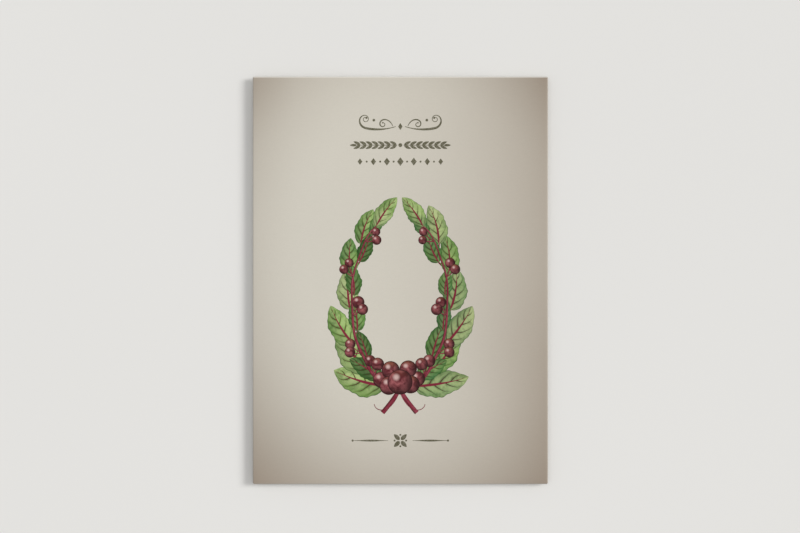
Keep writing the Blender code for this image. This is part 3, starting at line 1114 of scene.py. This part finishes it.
# A leaf's washes: a change of tone, cool patches, and shade on one half and at the base. The spaces
# between the veins gleam, more where the leaf is light. Then come blots, the dark margin and the rib.
LEAF_WASH = (150.0, 3.0, 0.6, 0.6)
LEAF_WASH_DEPTH = 1.1
LEAF_COOL = ((90.0, 2.0), (0.50, 0.66, 0.0, 0.55))
LEAF_SHADED_HALF = (-0.10, 0.20, 0.0, 0.42)
LEAF_SHADED_BASE = (0.0, 0.35, 0.50, 0.0)
LEAF_LEAST_GLEAM = 0.25
LEAF_GLEAM = (0.35, 0.98, 0.55, 0.12)
LEAF_BLOTS = ((600.0, 4.0, 0.6, 1.0), (0.42, 0.70, 0.0, 0.42))
LEAF_MARGIN = (0.90, 1.0, 0.0, 0.75)
RIB_WIDTH = (0.0, 1.0, 0.16, 0.03)
RIB_SIDES = (0.0, 0.45)


def leaf_veins(nodes, u, side, off_rib):
    """(line, space): 1 on the side veins, and 1 half way between them. They bend towards the tip."""
    shake = nodes.times(nodes.minus(nodes.noise(*VEIN_SHAKE_NOISE), 0.5), VEIN_SHAKE)
    slant = nodes.times(off_rib, nodes.plus(VEIN_SLANT, nodes.times(off_rib, VEIN_CURVE)))
    stagger = nodes.ramp(side, *VEIN_STAGGER)
    place = nodes.plus(nodes.minus(u, slant), nodes.plus(stagger, shake))
    phase = nodes.math("FRACT", nodes.times(nodes.plus(place, 1.0), VEIN_COUNT))
    off_vein = nodes.math("ABSOLUTE", nodes.minus(phase, 0.5))
    width = nodes.ramp(off_rib, *VEIN_WIDTH)
    line = nodes.ramp(off_vein, nodes.times(width, VEIN_CORE), width, 1.0, 0.0)
    line = nodes.times(line, nodes.ramp(off_rib, *VEIN_MARGIN))
    line = nodes.times(line, nodes.ramp(u, *VEIN_TIP))
    return line, nodes.ramp(off_vein, *VEIN_SPACE)


def make_leaf_paint():
    """A watercolour leaf: green washes, a crimson midrib, fine side veins and a darker edge."""
    nodes = Nodes("leaf_paint")
    u, v = nodes.uv()
    side = nodes.minus(nodes.times(v, 2.0), 1.0)
    off_rib = nodes.math("ABSOLUTE", side)
    wash = nodes.times(nodes.minus(nodes.noise(*LEAF_WASH), 0.5), LEAF_WASH_DEPTH)
    tone = nodes.math("ADD", nodes.attribute("tone"), wash, clamp=True)
    green = nodes.colours(tone, LEAF_DARK, LEAF_MIDDLE, LEAF_LIGHT, LEAF_YELLOW)
    green = nodes.mix(nodes.spots(*LEAF_COOL), green, LEAF_BLUISH)
    green = nodes.mix(nodes.ramp(side, *LEAF_SHADED_HALF), green, LEAF_DARK)
    green = nodes.mix(nodes.ramp(u, *LEAF_SHADED_BASE), green, LEAF_DARK)

    line, space = leaf_veins(nodes, u, side, off_rib)
    gleam = nodes.plus(nodes.times(tone, 1.0 - LEAF_LEAST_GLEAM), LEAF_LEAST_GLEAM)
    gleam = nodes.times(nodes.ramp(off_rib, *LEAF_GLEAM), gleam)
    green = nodes.mix(nodes.times(space, gleam), green, LEAF_YELLOW)
    green = nodes.mix(nodes.spots(*LEAF_BLOTS), green, LEAF_DARK)
    green = nodes.mix(line, green, VEIN)
    green = nodes.mix(nodes.ramp(off_rib, *LEAF_MARGIN), green, LEAF_DARK)
    rib = nodes.math("DIVIDE", off_rib, nodes.ramp(u, *RIB_WIDTH))
    rib = nodes.math("SUBTRACT", 1.0, rib, clamp=True)
    colour = nodes.mix(nodes.ramp(rib, *RIB_SIDES), green, CRIMSON)
    return finish_on_paper(nodes, under_painted_shade(nodes, colour))


# A berry's washes. Round spots are a centre in the berry's square and a step of the distance from it.
BERRY_WASH = ((480.0, 4.0, 0.6, 1.0), (0.35, 0.68))
BERRY_TOP = (0.55, 1.0, 0.0, 0.85)
BERRY_SHADE = ((0.38, 0.64), (0.18, 0.58, 0.0, 0.90))
BERRY_GLOW = ((0.66, 0.26), (0.05, 0.22, 0.30, 0.0))
BERRY_FRECKLES = ((1900.0, 3.0, 0.6), (0.58, 0.72, 0.0, 0.45))
BERRY_RIM = ((0.5, 0.5), (0.43, 0.50, 0.0, 0.85))
BERRY_GLEAM = ((0.35, 0.69), (0.03, 0.19, 0.85, 0.0))


def make_berry_paint():
    """A watercolour berry: burgundy, brown at the top, dark round its rim, with a pale gleam."""
    nodes = Nodes("berry_paint")
    u, v = nodes.uv()

    def round_spot(centre, step):
        return nodes.ramp(nodes.distance(u, v, centre), *step)

    colour = nodes.mix(nodes.spots(*BERRY_WASH), BERRY, BERRY_PALE)
    brown = nodes.times(nodes.ramp(v, *BERRY_TOP), nodes.attribute("tone"))
    colour = nodes.mix(brown, colour, BERRY_BROWN)
    colour = nodes.mix(round_spot(*BERRY_SHADE), colour, BERRY_DARK)
    colour = nodes.mix(round_spot(*BERRY_GLOW), colour, BERRY_PALE)
    colour = nodes.mix(nodes.spots(*BERRY_FRECKLES), colour, BERRY_DARK)
    colour = nodes.mix(round_spot(*BERRY_RIM), colour, BERRY_DARK)
    colour = nodes.mix(round_spot(*BERRY_GLEAM), colour, BERRY_SHINE)
    return finish_on_paper(nodes, under_painted_shade(nodes, colour))


# The other materials: their spots, how rough they are, and the noise, depth and strength of a relief
GLUE_WASH = ((300.0, 3.0), (0.3, 0.7))
GLUE_ROUGHNESS = 0.35
GLUE_RELIEF_NOISE = (900.0, 3.0)
GLUE_RELIEF = (0.02 * MM, 0.4)
CORK_PATCHES = ((900.0, 5.0, 0.6), (0.3, 0.72))
CORK_PITS = ((3200.0, 4.0, 0.6), (0.35, 0.55, 1.0, 0.0))
CORK_ROUGHNESS = 0.92
CORK_RELIEF_NOISE = (2100.0, 5.0, 0.6)
CORK_RELIEF = (0.15 * MM, 0.8)
FLOOR_CLOUD = ((4.0, 2.0), (0.2, 0.8))
FLOOR_ROUGHNESS = 0.9
FLOOR_GLOSS = 0.2


def make_glue():
    """A pale, slightly glossy film, uneven as it dried."""
    nodes = Nodes("dried_glue")
    colour = nodes.mix(nodes.spots(*GLUE_WASH), GLUE_DARK, GLUE_PALE)
    relief = (nodes.noise(*GLUE_RELIEF_NOISE), *GLUE_RELIEF)
    return nodes.finish(colour, GLUE_ROUGHNESS, relief=relief)


def make_cork():
    """Rough brown cork in patches, with dark pits."""
    nodes = Nodes("seed_cork")
    colour = nodes.mix(nodes.spots(*CORK_PATCHES), CORK_DARK, CORK_PALE)
    colour = nodes.mix(nodes.spots(*CORK_PITS), colour, CORK_PIT)
    relief = (nodes.noise(*CORK_RELIEF_NOISE), *CORK_RELIEF)
    return nodes.finish(colour, CORK_ROUGHNESS, relief=relief)


def make_floor():
    nodes = Nodes("pale_floor")
    colour = nodes.mix(nodes.spots(*FLOOR_CLOUD), FLOOR_DARK, FLOOR_PALE)
    return nodes.finish(colour, FLOOR_ROUGHNESS, FLOOR_GLOSS)


def build_seeds(material):
    """Fine corky seed clusters, each as large as its plain CAD seed and in its place."""
    names = sorted(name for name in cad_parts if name.startswith("beet_seed"))
    for number, name in enumerate(names, start=1):
        low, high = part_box(name)
        middle = (low + high) / 2
        half = (high - low) / 2
        bm = bmesh.new()
        bmesh.ops.create_icosphere(bm, subdivisions=SEED_SUBDIVISIONS, radius=1.0)
        away = Vector((number * SEED_PATTERN_STEP, 0, 0))
        for vert in bm.verts:
            here = vert.co.normalized()
            lumps = SEED_LUMPS * noise.noise(here * SEED_LUMP_RATE + away)
            warts = SEED_WARTS * noise.noise(here * SEED_WART_RATE + away)
            vert.co = middle + here * half * min(SEED_SIZE + lumps + warts, 1.0)
        seed_name = f"seed_cluster_{number:02d}"
        seed = add_piece(seed_name, mesh_from(seed_name, bm), material)
        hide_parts(name)


def dress_glue(material):
    """The glue films keep their CAD shape."""
    for name in ("side_seam_glue", "bottom_flap_glue", "top_flap_glue"):
        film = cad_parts[name]
        film.data.materials.clear()
        film.data.materials.append(material)


def build_floor(material):
    bm = bmesh.new()
    bmesh.ops.create_grid(bm, x_segments=1, y_segments=1, size=FLOOR_REACH)
    mesh = mesh_from("floor", bm)
    mesh.materials.append(material)
    new_object("floor", mesh)


def add_light(name, place, strength, angle, colour):
    """An even light that shines from a place towards the packet, seen under an angle."""
    light = bpy.data.lights.new(name, "SUN")
    light.angle = angle
    light.energy = strength
    light.color = colour
    obj = new_object(name, light)
    obj.location = place
    obj.rotation_euler = Vector(place).to_track_quat("Z", "Y").to_euler()


def light_studio():
    """An even pale room, a broad light overhead and a smaller one from the right."""
    world = bpy.data.worlds.new("pale_room")
    world.use_nodes = True
    background = world.node_tree.nodes["Background"]
    background.inputs["Color"].default_value = (*ROOM_COLOUR, 1.0)
    background.inputs["Strength"].default_value = ROOM_LIGHT
    bpy.context.scene.world = world
    add_light("overhead", OVERHEAD_FROM, OVERHEAD_STRENGTH, OVERHEAD_ANGLE, ROOM_COLOUR)
    add_light("key", KEY_FROM, KEY_STRENGTH, KEY_ANGLE, KEY_COLOUR)


def add_camera():
    """Straight down on the packet, framed as the photograph is."""
    view_width = IMAGE_WIDTH / PIXELS_PER_METRE
    distance = view_width * LENS / SENSOR
    camera = bpy.data.cameras.new("camera")
    camera.lens = LENS
    camera.sensor_width = SENSOR
    obj = new_object("camera", camera)
    obj.location = (
        (IMAGE_WIDTH / 2 - PACKET_CENTRE_PIXEL[0]) / PIXELS_PER_METRE,
        (PACKET_CENTRE_PIXEL[1] - IMAGE_HEIGHT / 2) / PIXELS_PER_METRE,
        EDGE_LEVEL + distance,
    )
    bpy.context.scene.camera = obj


def main():
    bpy.context.scene.view_settings.view_transform = "Standard"
    add_camera()
    light_studio()
    build_floor(make_floor())
    build_sheet(make_paper())
    ink = make_ink()
    build_scroll(ink)
    build_garland(ink)
    build_lozenges(ink)
    build_foot_rule(ink)
    build_wreath(make_stem_paint(), make_leaf_paint(), make_berry_paint())
    build_seeds(make_cork())
    dress_glue(make_glue())


main()
